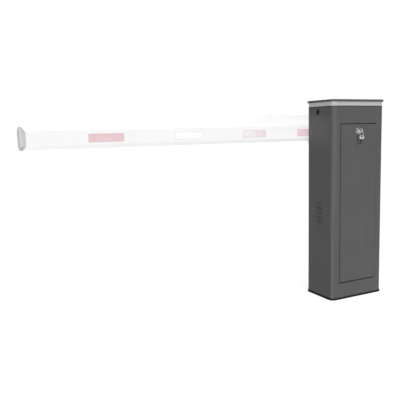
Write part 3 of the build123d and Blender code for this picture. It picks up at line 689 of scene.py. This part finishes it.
# fan cover: rings and spokes over the inlet, over a thin black disc that paints the shade of the open inlet; three
# screws in its rim
dm0, dm1 = spot("drive_motor")
s = Shape("motor_fan_cover", "motor", "black", "zinc")
F = at((dm1.x, WY, WZ), RIGHT)
s.use(1).lathe([(27, 0), (27, 0.3), (26, 0.4)], F)
s.use(0)
for r in (8, 13.5, 19, 24.5):
    s.washer(F, r + 1.3, r - 1.3, 1.8)
s.lathe([(5.0, 0), (5.0, 1.6), (4.2, 2.2), (1.5, 2.6)], F)
for k in range(6):
    a = 2 * math.pi * k / 6
    d = (0, math.cos(a), math.sin(a))
    s.plate(at((dm1.x, WY + 15.5 * d[1], WZ + 15.5 * d[2]), RIGHT, up=d), 2.2, 24, 1.5, 0.6, 0.4)
s.use(2)
for k in range(3):
    a = math.radians(90 + 120 * k)
    s.button(at((dm1.x, WY + 30.5 * math.cos(a), WZ + 30.5 * math.sin(a)), RIGHT), 2.2, 1.3)
s.done("cabinet", "motor_paint")
s = Shape("motor_terminal_box", "motor", "zinc", "black")
s.plate(at((112, WY - 37, WZ), FRONT), 50, 42, 17, 4, 1.0)
s.plate(at((112, WY - 54, WZ), FRONT), 53, 45, 4.5, 5, 1.4)
s.use(1)
for x in (92, 132):
    for z in (-16, 16):
        s.button(at((x, WY - 58.5, WZ + z), FRONT), 2.6, 1.6)
s.use(2)
F = at((112, WY - 46, WZ - 21), DOWN)
s.hexhead(F, 9.5, 5)
s.rings([circle(8.6, 5), circle(8.6, 9), circle(7.4, 13), circle(5.2, 15), circle(3.0, 15), circle(3.0, 8)], F)
s.use(1)
for y in (-31, 31):
    for z in (-31, 31):
        s.bolt(at((82, WY + y, WZ + z), RIGHT), 5, 4.0)
s.done("cabinet", "motor_paint")

# spring drum: ribs and cover screws, clear of the cam
sd0, sd1 = spot("spring_drum")
s = Shape("spring_drum_cover", "motor", "zinc")
s.washer(at((0, sd0.y, AZ), FRONT), 55.5, 48.5, 1.2)
for k in range(12):
    a = 2 * math.pi * k / 12
    d = (math.cos(a), 0, math.sin(a))
    s.plate(at((36 * d[0], sd0.y, AZ + 36 * d[2]), FRONT, up=d), 2.4, 25, 1.6, 0.8, 0.5)
s.use(1)
for k in range(6):
    a = math.radians(30 + 60 * k)
    s.button(at((52 * math.cos(a), sd0.y - 1.1, AZ + 52 * math.sin(a)), FRONT), 3.0, 1.7)
s.done("cabinet", "motor_paint")

# sensor: screws, lamp, plug socket
ls0, ls1 = spot("limit_sensor")
s = Shape("limit_sensor_details", "sensor", "zinc", "lens")
s.plate(at((40, ls0.y, AZ + 67), FRONT), 40, 28, 1.0, 3, 0.5)
s.use(1)
for x in (24, 56):
    s.button(at((x, ls0.y - 1.0, AZ + 67 + (x - 40) * 0.6), FRONT), 2.6, 1.3)
s.washer(at((40, ls0.y + 4, AZ + 84), UP), 5.5, 3.6, 11)
for z in (1, 3.4, 5.8, 8.2):
    s.washer(at((40, ls0.y + 4, AZ + 84 + z), UP), 6.6, 4.5, 1.5)
s.use(2).lathe([(1.8, 0), (1.6, 0.9), (0.8, 1.4)], at((30, ls0.y - 1.0, AZ + 74), FRONT))
s.done("cabinet", "sensor_plastic")

# shaft end: washer and low bolt with the two screws of the cam
ms0, ms1 = spot("main_shaft")
s = Shape("shaft_end_bolt", "zinc")
s.washer(at((0, ms0.y, AZ), FRONT), 13, 4, 1.2)
s.hexhead(at((0, ms0.y, AZ), FRONT), 8, 3.6, 1.2)
lc0, lc1 = spot("limit_cam")
for a in (120, 240):
    s.button(at((32 * math.cos(math.radians(a)), lc0.y, AZ + 32 * math.sin(math.radians(a))), FRONT), 3.2, 2.0)
s.done("boom", "zinc_steel")

# mounting panel screws
mp0, mp1 = spot("mounting_panel")
s = Shape("panel_screws", "zinc")
for x in (-150, 150):
    for z in (mp0.z + 14, mp0.z + 190, mp0.z + 350, mp1.z - 14):
        s.washer(at((x, mp0.y, z), FRONT), 7, 2.5, 1.2)
        s.button(at((x, mp0.y - 1.1, z), FRONT), 4.6, 2.8)
s.done("cabinet", "zinc_steel")

# control box: lid, corner screws, lamps, push pads and the blanked glands below
cb0, cb1 = spot("control_box")
cz = (cb0.z + cb1.z) / 2
s = Shape("control_box_details", "control", "zinc", "black", "lens", "key_pad", "breaker")
s.plate(at((0, cb0.y + 0.3, cz), FRONT), 206, 146, 4.2, 8, 1.4)
s.plate(at((0, cb0.y - 3.9, cz + 4), FRONT), 178, 112, 0.8, 5, 0.4)
s.use(1)
for x in (-94, 94):
    for z in (-64, 64):
        s.button(at((x, cb0.y - 3.9, cz + z), FRONT), 4.0, 2.0)
s.use(2).plate(at((-38, cb0.y - 4.7, cz + 22), FRONT), 78, 34, 1.2, 3, 0.6)
for i in range(3):
    s.use(3).lathe([(2.8, 0), (2.6, 1.4), (1.6, 2.3), (0.6, 2.6)], at((26 + 16 * i, cb0.y - 4.7, cz + 30), FRONT), 16)
    s.use(2).washer(at((26 + 16 * i, cb0.y - 4.7, cz + 30), FRONT), 4.2, 2.9, 1.0)
s.use(4)
for i in range(4):
    s.rings([rrect(20, 14, 4, 0), rrect(20, 14, 4, 1.4), rrect(18, 12, 3.4, 2.2), rrect(12, 7, 2, 2.5)],
            at((-64 + 27 * i, cb0.y - 4.7, cz - 24), FRONT))
s.use(2)
for i in range(6):
    F = at((-80 + 32 * i, (cb0.y + cb1.y) / 2 + 4, cb0.z), DOWN)
    s.hexhead(F, 10.5, 5)
    s.rings([circle(9.6, 5), circle(9.6, 9), circle(8.2, 13.5), circle(6.0, 15.5), circle(3.8, 15.5), circle(3.8, 9)], F)
s.done("cabinet", "control_plastic")

# power supply: punched cover whose shallow vent dimples have black floors, painted shade standing for open holes;
# terminal strip with dividers, mounting ears
ps0, ps1 = spot("power_supply")
pcx = (ps0.x + ps1.x) / 2
s = Shape("power_supply_cover", "psu", "black")
nx, nz, pit = 13, 17, 6.6
for i in range(nx):
    for j in range(nz):
        x = pcx + (i - (nx - 1) / 2) * pit
        z = ps0.z + 96 + (j - (nz - 1) / 2) * pit
        F = at((x, ps0.y, z), FRONT)
        sq = []
        for q in range(12):
            th = 2 * math.pi * (q + 0.5) / 12
            m = max(abs(math.cos(th)), abs(math.sin(th)))
            sq.append((pit / 2 * math.cos(th) / m, pit / 2 * math.sin(th) / m))
        cc = [(2.25 * math.cos(2 * math.pi * (q + 0.5) / 12), 2.25 * math.sin(2 * math.pi * (q + 0.5) / 12)) for q in range(12)]
        # each dimple's floor takes the black plastic: painted shade inside the hole
        s.rings([[(a, b, 0) for a, b in sq], [(a, b, 1.2) for a, b in sq], [(a, b, 1.2) for a, b in cc],
                 [(a, b, 0.3) for a, b in cc]], F, floor_mat=1)
s.done("cabinet", "perforated_steel")
s = Shape("power_supply_terminals", "black", "zinc", "psu")
s.plate(at((pcx, ps0.y, ps0.z + 18), FRONT), 86, 20, 3.0, 1, 0.4)
for i in range(10):
    s.plate(at((pcx - 40.5 + 9 * i, ps0.y, ps0.z + 18), FRONT), 1.4, 22, 9.5, 0.5, 0.3)
s.use(1)
for i in range(9):
    s.button(at((pcx - 36 + 9 * i, ps0.y - 3.0, ps0.z + 18), FRONT), 3.2, 2.6)
for z, sg in ((ps0.z, -1), (ps1.z, 1)):
    for x in (-32, 32):
        s.use(2).plate(at((pcx + x, ps1.y, z + sg * 6), FRONT), 18, 14, 1.5, 3, 0.4)
        s.use(1).button(at((pcx + x, ps1.y - 1.5, z + sg * 7), FRONT), 3.8, 2.4)
s.done("cabinet", "black_plastic")

# terminal row: single slices with their screws, and two end stops
tb0, tb1 = spot("terminal_blocks")
zc = (tb0.z + tb1.z) / 2
yb, yf = tb1.y, tb0.y
prof = [(yb, -24), (yb, 24), (yb - 14, 24), (yb - 20, 21), (yb - 28, 21), (yb - 32, 12), (yf, 11), (yf, -11),
        (yb - 32, -12), (yb - 28, -21), (yb - 20, -21), (yb - 14, -24)]
s = Shape("terminal_slices", "terminal", "zinc", "sensor", "lens", "black", "breaker")
ns = 20
pit = (tb1.x - tb0.x) / ns
for i in range(ns):
    s.use(2 if i in (16, 17) else 3 if i in (18, 19) else 0)
    x = tb0.x + pit * i + 0.3
    F = Matrix(((0, 0, 1, x), (-1, 0, 0, 0), (0, -1, 0, zc), (0, 0, 0, 1)))
    pts = [(-y, -z) for y, z in prof]
    s.prism(F, pts, pit - 0.6, 0.25)
    for zz, sg in ((16.5, 1), (-16.5, -1)):
        s.use(1).button(at((x + pit / 2 - 0.3, yb - 28 - 0.1, zc + zz), FRONT), 1.9, 0.9)
    s.use(5).plate(at((x + pit / 2 - 0.3, yf, zc), FRONT), pit - 1.8, 8, 0.5, 0.4, 0.2)
s.use(4)
for x in (tb0.x - 5, tb1.x + 5):
    s.plate(at((x, yb, zc), FRONT), 8, 46, 26, 1.5, 0.8)
    s.use(1).button(at((x, yb - 26, zc), FRONT), 2.6, 1.4).use(4)
s.done("cabinet", "terminal_plastic", "terminal_blocks")

# rail: row of slots seen where nothing is clipped on, drawn as thin black patches: painted shade in place of open slots
tr0, tr1 = spot("terminal_rail")
s = Shape("rail_lips", "zinc", "black")
for z in (tr0.z + 1.2, tr1.z - 1.2):
    s.plate(at(((tr0.x + tr1.x) / 2, tr0.y, z), FRONT), tr1.x - tr0.x, 2.2, 1.0, 0.3, 0.2)
s.use(1)
for x in list(range(-120, -116, 12)) + [20, 32, 92, 104, 116]:
    s.plate(at((x, tr0.y + 0.1, (tr0.z + tr1.z) / 2), FRONT), 8, 5, 0.35, 2.4, 0.1)
s.done("cabinet", "zinc_steel")

# circuit breaker: two poles with toggles, screw wells and the middle joint
cx0, cx1 = spot("circuit_breaker")
bz = (cx0.z + cx1.z) / 2
s = Shape("breaker_details", "breaker", "black", "zinc", "sensor")
for x in (53, 71):
    s.use(1).plate(at((x, cx0.y, bz), FRONT), 11, 22, 0.8, 2, 0.3)
    # toggle, thrown up
    s.use(3).prism(at((x - 4, 0, 0), RIGHT, up=UP), [(cx0.y + 0.6, bz - 3), (cx0.y + 0.6, bz + 7), (cx0.y - 3.0, bz + 9.0),
                                                     (cx0.y - 4.2, bz + 7.2), (cx0.y - 1.6, bz + 1)], 8, 0.5)
    for zz in (34, -34):
        s.use(1).washer(at((x, cx0.y + 18, bz + zz), FRONT), 4.6, 3.4, 0.5)
        s.use(2).button(at((x, cx0.y + 18, bz + zz), FRONT), 3.3, 0.8)
s.use(1).plate(at((62, cx0.y, bz), FRONT), 0.7, 43, 0.25, 0.2, 0.1)
s.use(0).plate(at((62, cx0.y, bz - 16.5), FRONT), 30, 8, 0.6, 1, 0.3)
s.done("cabinet", "breaker_plastic")

# ---------------------------------------------------------------------------
# door: stiffening channel, earth stud and pivot bushes on its inner side
# ---------------------------------------------------------------------------
iy = dp0.y + 2.0
s = Shape("door_stiffeners", "cabinet")
for z in (300, 560):
    s.plate(at((0, iy, z), BACK), 196, 58, 1.6, 3, 0.4)
    s.rings([rrect(192, 34, 3, 1.6), rrect(190, 30, 4, 8.0), rrect(188, 27, 4, 9.6)], at((0, iy, z), BACK))
s.done("door", "cabinet_paint")
s = Shape("door_fittings", "zinc", "brass", "breaker")
for z in (300, 560):
    for x in (-88, -30, 30, 88):
        for dz in (-24, 24):
            s.lathe([(3.2, 1.6), (3.0, 2.1), (1.6, 2.4)], at((x, iy, z + dz), BACK), 16)
F = at((70, iy, 180), BACK)
s.washer(F, 8, 3, 1.2)
s.use(1).hexhead(F, 5, 4, 1.2)
s.use(0).thread(F, 3, 5.2, 14, 1.0)
s.use(2)
pz, py = dp0.z + 14, -96.0
for side in (-1, 1):
    F = at((side * (dp1.x - 2.0), py, pz), (-side, 0, 0))
    s.rings([circle(7.5, 0), circle(7.5, 2.0), circle(7.0, 2.4), circle(4.15, 2.4), circle(4.15, 0)], F, loop=True)
s.done("door", "zinc_steel")

# lock: spanner holes in the sunk ring drawn as black discs, painted shade of the holes, and a fine turned step
lh0, lh1 = spot("lock_housing")
LX, LZ = (lh0.x + lh1.x) / 2, (lh0.z + lh1.z) / 2
s = Shape("lock_face_details", "black", "chrome")
for a, r, hole in ((175, 12.8, 3.2), (66, 12.8, 3.2), (306, 12.2, 2.4)):
    F = at((LX + r * math.cos(math.radians(a)), lh0.y + 1.9, LZ + r * math.sin(math.radians(a))), FRONT)
    s.use(0).lathe([(hole, 0), (hole, 2.1), (hole - 0.4, 2.4), (hole - 1.4, 2.1)], F, 24)
s.use(1).washer(at((LX, lh0.y + 0.3, LZ), FRONT), 16.4, 15.2, 0.5)
s.done("door", "lock_chrome")


def bow(s, F, w, h, hole_y, t, r_hole=3.4):
    """Key head in the local xy plane with its hole at the origin; hole_y is the hole's place above the middle."""
    n = 40
    outer, inner = [], []
    rr = rrect(w, h, 8.5, 0, 10)
    for i in range(n):
        a = 2 * math.pi * i / n
        d = Vector((math.cos(a), math.sin(a)))
        best = 1e9
        for q in range(len(rr)):
            p1 = Vector((rr[q][0], rr[q][1] - hole_y))
            p2 = Vector((rr[(q + 1) % len(rr)][0], rr[(q + 1) % len(rr)][1] - hole_y))
            e = p2 - p1
            den = d.x * e.y - d.y * e.x
            if abs(den) < 1e-9:
                continue
            tt = (p1.x * e.y - p1.y * e.x) / den
            uu = (p1.x * d.y - p1.y * d.x) / den
            if tt > 0 and -1e-6 <= uu <= 1 + 1e-6:
                best = min(best, tt)
        outer.append(d * best)
        inner.append(d * r_hole)
    c = 0.35

    def ring(pts, k, z):
        return [(p.x * k, p.y * k, z) for p in pts]

    s.rings([ring(outer, 0.965, -t / 2), ring(outer, 1, -t / 2 + c), ring(outer, 1, t / 2 - c),
             ring(outer, 0.965, t / 2), ring(inner, 1.08, t / 2), ring(inner, 1, t / 2 - c),
             ring(inner, 1, -t / 2 + c), ring(inner, 1.08, -t / 2)], F, loop=True)
    for sg in (1, -1):
        G = F @ Matrix.Translation((0, -hole_y - 3.0, sg * t / 2)) @ (Matrix.Identity(4) if sg > 0 else Matrix.Rotation(math.pi, 4, "X"))
        s.rings([rrect(w - 7, 8.5, 3, -0.2), rrect(w - 7, 8.5, 3, 0.15), rrect(w - 8, 7.5, 2.6, 0.4)], G)


def blade(s, F, y0, length, w, t, teeth):
    """Blade downwards from y0, with cut bits on one side and a milled groove."""
    pts = [(-w / 2, y0), (-w / 2, y0 - length + 2), (-w / 2 + 2, y0 - length), (w / 2 - 2.5, y0 - length)]
    y = y0 - length + 2
    for k, d in enumerate(teeth):
        pts += [(w / 2 - d, y), (w / 2 - d, y + 1.2), (w / 2 - 0.3, y + 2.2)]
        y += 3.0
    pts += [(w / 2, y + 0.5), (w / 2, y0)]
    G = F @ Matrix.Translation((0, 0, -t / 2))
    s.prism(G, pts, t, 0.25)
    for sg in (1, -1):
        H = F @ Matrix.Translation((-0.8, y0 - length / 2, sg * t / 2)) @ (Matrix.Identity(4) if sg > 0 else Matrix.Rotation(math.pi, 4, "X"))
        s.rings([rrect(1.3, length - 3, 0.6, -0.2), rrect(1.3, length - 3, 0.6, 0.12), rrect(0.8, length - 3.6, 0.3, 0.2)], H)


k0, k1 = spot("key")
KY = k1.y - 13.0          # where the blade enters the plug
HY = KY - 22.0            # eye of the key
s = Shape("key_cut", "key")
F = at((LX, HY, LZ), LEFT, up=(0, -1, 0))
bow(s, F, 24, 22, 5.0, 2.2)
blade(s, F, -14.0, 20.5, 8.2, 1.9, (2.2, 1.2, 2.6, 1.6))
s.done("lock", "key_steel", "key")

# split ring: two turns of wire
kr0, kr1 = spot("key_ring")
rc = Vector(((kr0.x + kr1.x) / 2, (kr0.y + kr1.y) / 2, (kr0.z + kr1.z) / 2))
R = (kr1.z - kr0.z) / 2 - 0.9
s = Shape("key_ring_wire", "key")
pts = []
for i in range(97):
    a = 2 * math.pi * 2 * i / 96 + 0.7
    pts.append((rc.x + R * math.cos(a), rc.y + 0.95 * (i / 96 - 0.5) * 2, rc.z + R * math.sin(a)))
s.tube(pts, 0.85)
s.done("lock", "key_steel", "key_ring")

# spare key: turned on the ring so that its face looks out to the front left; its bow and blade take darker copies of
# the key steel, painted shade
eye = Vector((rc.x + R * math.sin(0.26), rc.y, rc.z - R * math.cos(0.26) - 2.4))
s = Shape("spare_key_cut", "key_shaded_bow", "key_dark")
F = at(eye, (-0.62, -0.78, 0.12), turn=math.radians(-13))
bow(s, F, 23, 21, 5.0, 2.2, 4.0)
s.use(1)
blade(s, F, -14.5, 26, 8.6, 2.0, (1.2, 2.6, 1.8, 2.9, 1.4))
s.done("lock", "key_steel", "spare_key")

# ---------------------------------------------------------------------------
# boom: clamp bolts with threads and nuts, weld, arm bead, screws
# ---------------------------------------------------------------------------
cl0, cl1 = spot("clamp_bolts")
ar0, ar1 = spot("support_arm")
ca0, ca1 = spot("carrier_plate")
s = Shape("clamp_bolts_threaded", "zinc")
for x in (-45, 45):
    for z in (-69, 69):
        F = at((x, ca0.y, AZ + z), BACK)
        s.lathe([(5.2, 0.0), (5.9, 0.6), (5.9, ar1.y - ca0.y)], F)
        G = at((x, ar1.y, AZ + z), BACK)
        s.washer(G, 12.5, 5.9, 2.2)
        s.hexhead(at((x, ar1.y, AZ + z), BACK, turn=0.2 * x + 0.1 * z), 9.4, 9.0, 2.2)
        s.thread(G, 5.9, 11.0, 15.5, 1.75)
        s.washer(at((x, ca1.y, AZ + z), BACK), 11.5, 5.9, 2.0)
        s.hexhead(at((x, ca1.y, AZ + z), BACK, turn=0.3 * x + 0.2 * z), 9.4, 6.0, 2.0)
s.done("boom", "zinc_steel", "clamp_bolts")

s = Shape("shaft_weld", "boom")
pts_ring = []
prof = []
nseg = 96
rows = []
for i in range(10):
    b = math.pi * i / 9
    rows.append((20.3 + 2.4 * (1 + math.cos(b)) / 2 * 1.0 + 0.0, 2.3 * math.sin(b)))
ring_rows = []
for rr_, hh_ in [(24.2, 0.0), (23.8, 1.0), (22.9, 1.8), (21.8, 2.2), (20.8, 2.3), (20.2, 2.3), (20.2, 0.0)]:
    ring_rows.append([((rr_ + (0.35 if hh_ > 0 else 0) * abs(math.sin(i * math.pi / 4))) * math.cos(2 * math.pi * i / nseg),
                       (rr_ + (0.35 if hh_ > 0 else 0) * abs(math.sin(i * math.pi / 4))) * math.sin(2 * math.pi * i / nseg), hh_)
                      for i in range(nseg)])
s.rings(ring_rows, at((0, ca0.y, AZ), FRONT), loop=True)
s.done("boom", "boom_paint")

s = Shape("support_arm_bead", "boom", "zinc")
s.rings([rrect(330, 20, 10, 0), rrect(327, 17, 8.5, 1.4), rrect(320, 10, 5, 2.6), rrect(314, 4, 2, 2.9)],
        at((-255, ar1.y, AZ + 24), BACK))
s.use(1)
for x in (-190, -310, -440):
    s.washer(at((x, ar1.y, AZ - 18), BACK), 9, 4, 1.4)
    s.button(at((x, ar1.y + 1.3, AZ - 18), BACK), 6.4, 3.4)
s.done("boom", "boom_paint")

be0, be1 = spot("boom_end_cap")
bt0, bt1 = spot("boom_tail_cap")
s = Shape("end_cap_screws", "zinc")
s.button(at((be0.x + 15, be1.y, AZ), BACK), 3.6, 1.8)
for z in (-26, 26):
    s.button(at((bt1.x, (bt0.y + bt1.y) / 2, AZ + z), RIGHT), 3.6, 1.8)
s.done("boom", "zinc_steel")

# ---------------------------------------------------------------------------
# floor, light and camera
# ---------------------------------------------------------------------------
def floor():
    # pale studio table, lit through from below so that it stays even
    me = bpy.data.meshes.new("studio_floor")
    s = 60.0
    me.from_pydata([(-s, -s, 0), (s, -s, 0), (s, s, 0), (-s, s, 0)], [], [(0, 1, 2, 3)])
    o = bpy.data.objects.new("studio_floor", me)
    scene.collection.objects.link(o)
    t = Tree("studio_floor")
    t.link(t.mix(t.ramp(t.noise(0.6, 2.0, 0.5), 0.3, 0.7), (0.41, 0.41, 0.41, 1), (0.43, 0.43, 0.43, 1)),
           t.b.inputs["Base Color"])
    t.b.inputs["Roughness"].default_value = 0.9
    t.b.inputs["Specular IOR Level"].default_value = 0.1
    t.b.inputs["Emission Color"].default_value = (1, 1, 1, 1)
    lp = t.node("ShaderNodeLightPath")
    t.link(t.math("MULTIPLY_ADD", lp.outputs["Is Camera Ray"], FLOOR_GLOW - FLOOR_BOUNCE, FLOOR_BOUNCE),
           t.b.inputs["Emission Strength"])
    me.materials.append(t.m)
    o.location.z = -0.0005
    o.visible_shadow = False


FLOOR_GLOW = 0.80
FLOOR_BOUNCE = 0.35
AMBIENT = 0.20
CAP_KEY = 4.3
BOOM_HIGH = 1.0
BOOM_LOW = 1.08
ROOT_FILL = 0.10
floor()

w = bpy.data.worlds.new("studio")
scene.world = w
w.use_nodes = True
wt = w.node_tree
wt.nodes.clear()
wo = wt.nodes.new("ShaderNodeOutputWorld")
amb = wt.nodes.new("ShaderNodeBackground")
amb.inputs[0].default_value = (1, 1, 1, 1)
amb.inputs[1].default_value = AMBIENT
seen = wt.nodes.new("ShaderNodeBackground")
seen.inputs[0].default_value = (1, 1, 1, 1)
seen.inputs[1].default_value = 1.0
lp = wt.nodes.new("ShaderNodeLightPath")
mx = wt.nodes.new("ShaderNodeMixShader")
wt.links.new(lp.outputs["Is Camera Ray"], mx.inputs[0])
wt.links.new(amb.outputs[0], mx.inputs[1])
wt.links.new(seen.outputs[0], mx.inputs[2])
wt.links.new(mx.outputs[0], wo.inputs[0])


def sun(name, az, el, strength, angle, color=(1, 1, 1)):
    # az 0 shines from the door side, positive from the right
    d = bpy.data.lights.new(name, "SUN")
    d.energy = strength
    d.angle = math.radians(angle)
    d.color = color
    o = bpy.data.objects.new(name, d)
    scene.collection.objects.link(o)
    a, e = math.radians(az), math.radians(el)
    back = Vector((math.sin(a) * math.cos(e), -math.cos(a) * math.cos(e), math.sin(e)))
    o.rotation_mode = "QUATERNION"
    o.rotation_quaternion = (-back).to_track_quat("-Z", "Y")
    o.location = back * 6
    return o


def small_lamp(name, place, power, radius):
    d = bpy.data.lights.new(name, "POINT")
    d.energy = power
    d.shadow_soft_size = radius
    o = bpy.data.objects.new(name, d)
    scene.collection.objects.link(o)
    o.location = place
    return o


def only(lamp, pieces, shadows=None):
    # the lamp is masked so that it falls on these pieces alone; when shadows are named, only those cast its shadows
    c = bpy.data.collections.new(lamp.name + "_on")
    for p in pieces:
        c.objects.link(p)
    lamp.light_linking.receiver_collection = c
    if shadows is not None:
        b = bpy.data.collections.new(lamp.name + "_by")
        for p in shadows:
            b.objects.link(p)
        lamp.light_linking.blocker_collection = b


BOOM_SIDE = ("boom_tube", "boom_end_cap", "boom_tail_cap", "reflector_1", "reflector_2", "reflector_3", "reflector_4",
             "support_arm", "support_arm_bead", "carrier_plate", "clamp_bolts_threaded", "end_cap_screws", "shaft_weld",
             "main_shaft")
CAP = ("boom_end_cap", "end_cap_screws")
pieces = [o for o in scene.objects if o.type == "MESH" and o.name != "studio_floor"]
boom_side = [o for o in pieces if any(o.name.startswith(n) for n in BOOM_SIDE)]
rest = [o for o in pieces if o not in boom_side]
cap_only = [o for o in boom_side if any(o.name.startswith(n) for n in CAP)]
boom_only = [o for o in boom_side if o not in cap_only]
print("BOOM SIDE", len(boom_side), "REST", len(rest), "CAP", len(cap_only))
only(sun("key_soft", 4, 16, 1.63, 20), rest)
only(sun("key_boom", -39, 3, 2.62, 6), boom_only, boom_side)
only(sun("key_cap", -30, 2, CAP_KEY, 170), cap_only, boom_side)
only(sun("boom_high", 180, 70, BOOM_HIGH, 20), boom_only, boom_side)
only(sun("boom_low", 180, -60, BOOM_LOW, 20), boom_only, boom_side)
only(small_lamp("boom_root", (-0.21, -0.02, 0.80), ROOT_FILL, 0.03), boom_only, boom_side)
only(sun("top_soft", -20, 80, 1.50, 40), rest + [bpy.data.objects["studio_floor"]])
only(sun("top_boom", -20, 80, 1.50, 40), boom_only, boom_side)
only(sun("back_soft", 165, 22, 0.9, 30), rest)
only(sun("edge_high", -52, 2, 0.40, 3), rest)
only(sun("edge_low", -52, -17, 0.55, 5), rest)

cd = bpy.data.cameras.new("camera")
cam = bpy.data.objects.new("camera", cd)
scene.collection.objects.link(cam)
scene.camera = cam
# the photograph's camera: heading, downward tilt, roll and focal length in pixels of a 400 px frame
YAW, TILT, ROLL, FPX = math.radians(27.964), math.radians(7.107), math.radians(-1.105), 537.7
fw = Vector((math.sin(YAW) * math.cos(TILT), math.cos(YAW) * math.cos(TILT), -math.sin(TILT)))
rt = Vector((math.cos(YAW), -math.sin(YAW), 0.0))
up = rt.cross(fw)
right = rt * math.cos(ROLL) + up * math.sin(ROLL)
above = up * math.cos(ROLL) - rt * math.sin(ROLL)
cam.location = (-1.8856, -2.1621, 0.8772)
cam.rotation_mode = "QUATERNION"
cam.rotation_quaternion = Matrix((right, above, -fw)).transposed().to_quaternion()
cd.sensor_width = 36.0
cd.lens = FPX / 400.0 * 36.0
cd.shift_x = -0.05
cd.shift_y = -0.0125
cd.clip_start = 0.05
cd.clip_end = 200.0
scene.view_settings.view_transform = "Standard"
scene.view_settings.look = "None"
